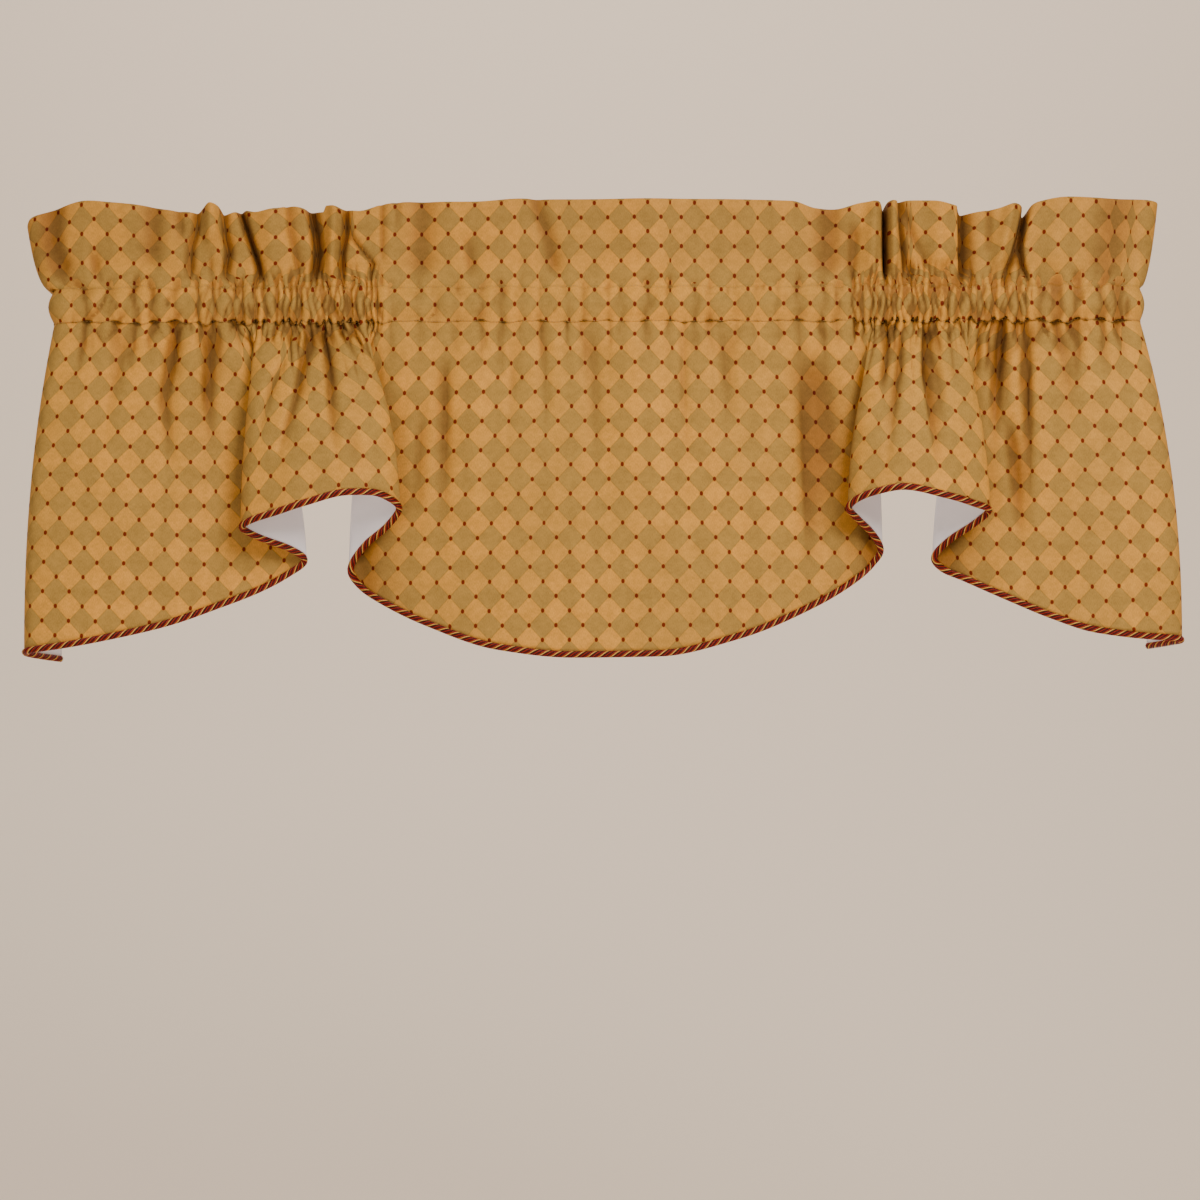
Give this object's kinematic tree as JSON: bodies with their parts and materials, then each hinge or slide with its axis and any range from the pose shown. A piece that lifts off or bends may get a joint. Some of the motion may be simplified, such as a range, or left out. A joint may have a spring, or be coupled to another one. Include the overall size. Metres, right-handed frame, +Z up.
{
  "type": "window valance",
  "caption": "Lined rod-pocket window valance with a stand-up frill, forward horns and a shaped, corded hem.",
  "frame": {"origin": "middle of the frill's top edge, in the upright plane of the rod", "axes": "+Z up, +X to the right along the rod as seen from the room, +Y towards the wall"},
  "size_m": [1.1031, 0.1232, 0.4346],
  "materials": {
    "face_cloth": "woven jacquard, soft sheen",
    "lining_cloth": "plain woven, matt",
    "trim": "twisted cord, soft sheen"
  },
  "bodies": {
    "root": {"drop": "face_cloth", "heading_front": "face_cloth", "heading_left_return": "face_cloth", "heading_right_return": "face_cloth", "lining": "lining_cloth", "cord_trim": "trim"}
  },
  "joints": []
}
